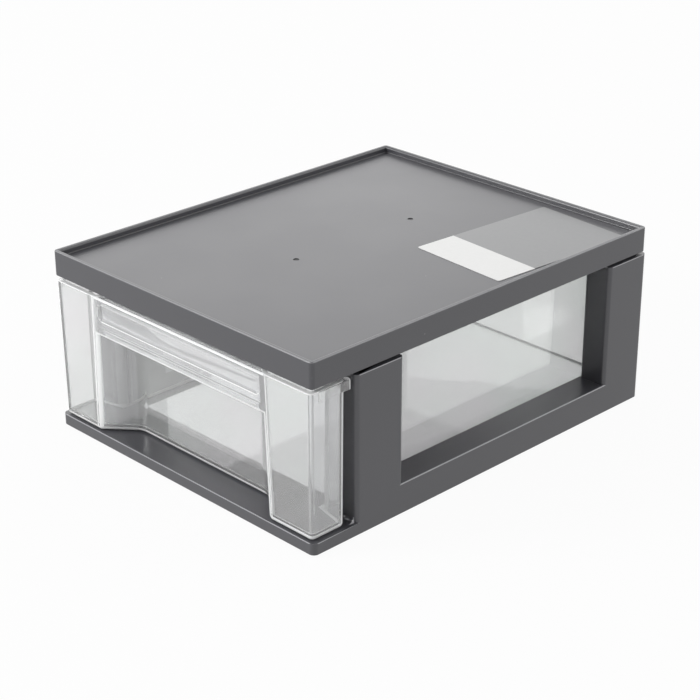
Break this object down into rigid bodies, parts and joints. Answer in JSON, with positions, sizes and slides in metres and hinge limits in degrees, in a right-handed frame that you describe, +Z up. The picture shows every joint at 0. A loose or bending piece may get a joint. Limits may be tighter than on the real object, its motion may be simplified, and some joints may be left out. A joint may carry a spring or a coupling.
{
  "type": "stackable drawer box",
  "caption": "Stackable drawer box for craft supplies and small parts: an opaque open-sided frame and rimmed top hold a clear drawer with a hooded finger handle.",
  "frame": {"origin": "centre of the footprint, on the surface that the box stands on", "axes": "+Z up; +Y from the drawer's front to the back; +X to the right seen from the front"},
  "size_m": [0.1612, 0.2022, 0.0831],
  "materials": {
    "charcoal_plastic": "satin injection-moulded charcoal grey",
    "clear_plastic": "clear polystyrene with polished faces",
    "label_film": "blank self-adhesive label, part white and part grey film"
  },
  "bodies": {
    "cabinet": {"base_frame": "charcoal_plastic", "top_panel": "charcoal_plastic", "label": "label_film"},
    "drawer": {"drawer": "clear_plastic"}
  },
  "joints": [
    {"name": "drawer_slide", "type": "slide", "parent": "cabinet", "child": "drawer", "axis": [0, -1, 0], "range_m": [0, 0.15]}
  ]
}
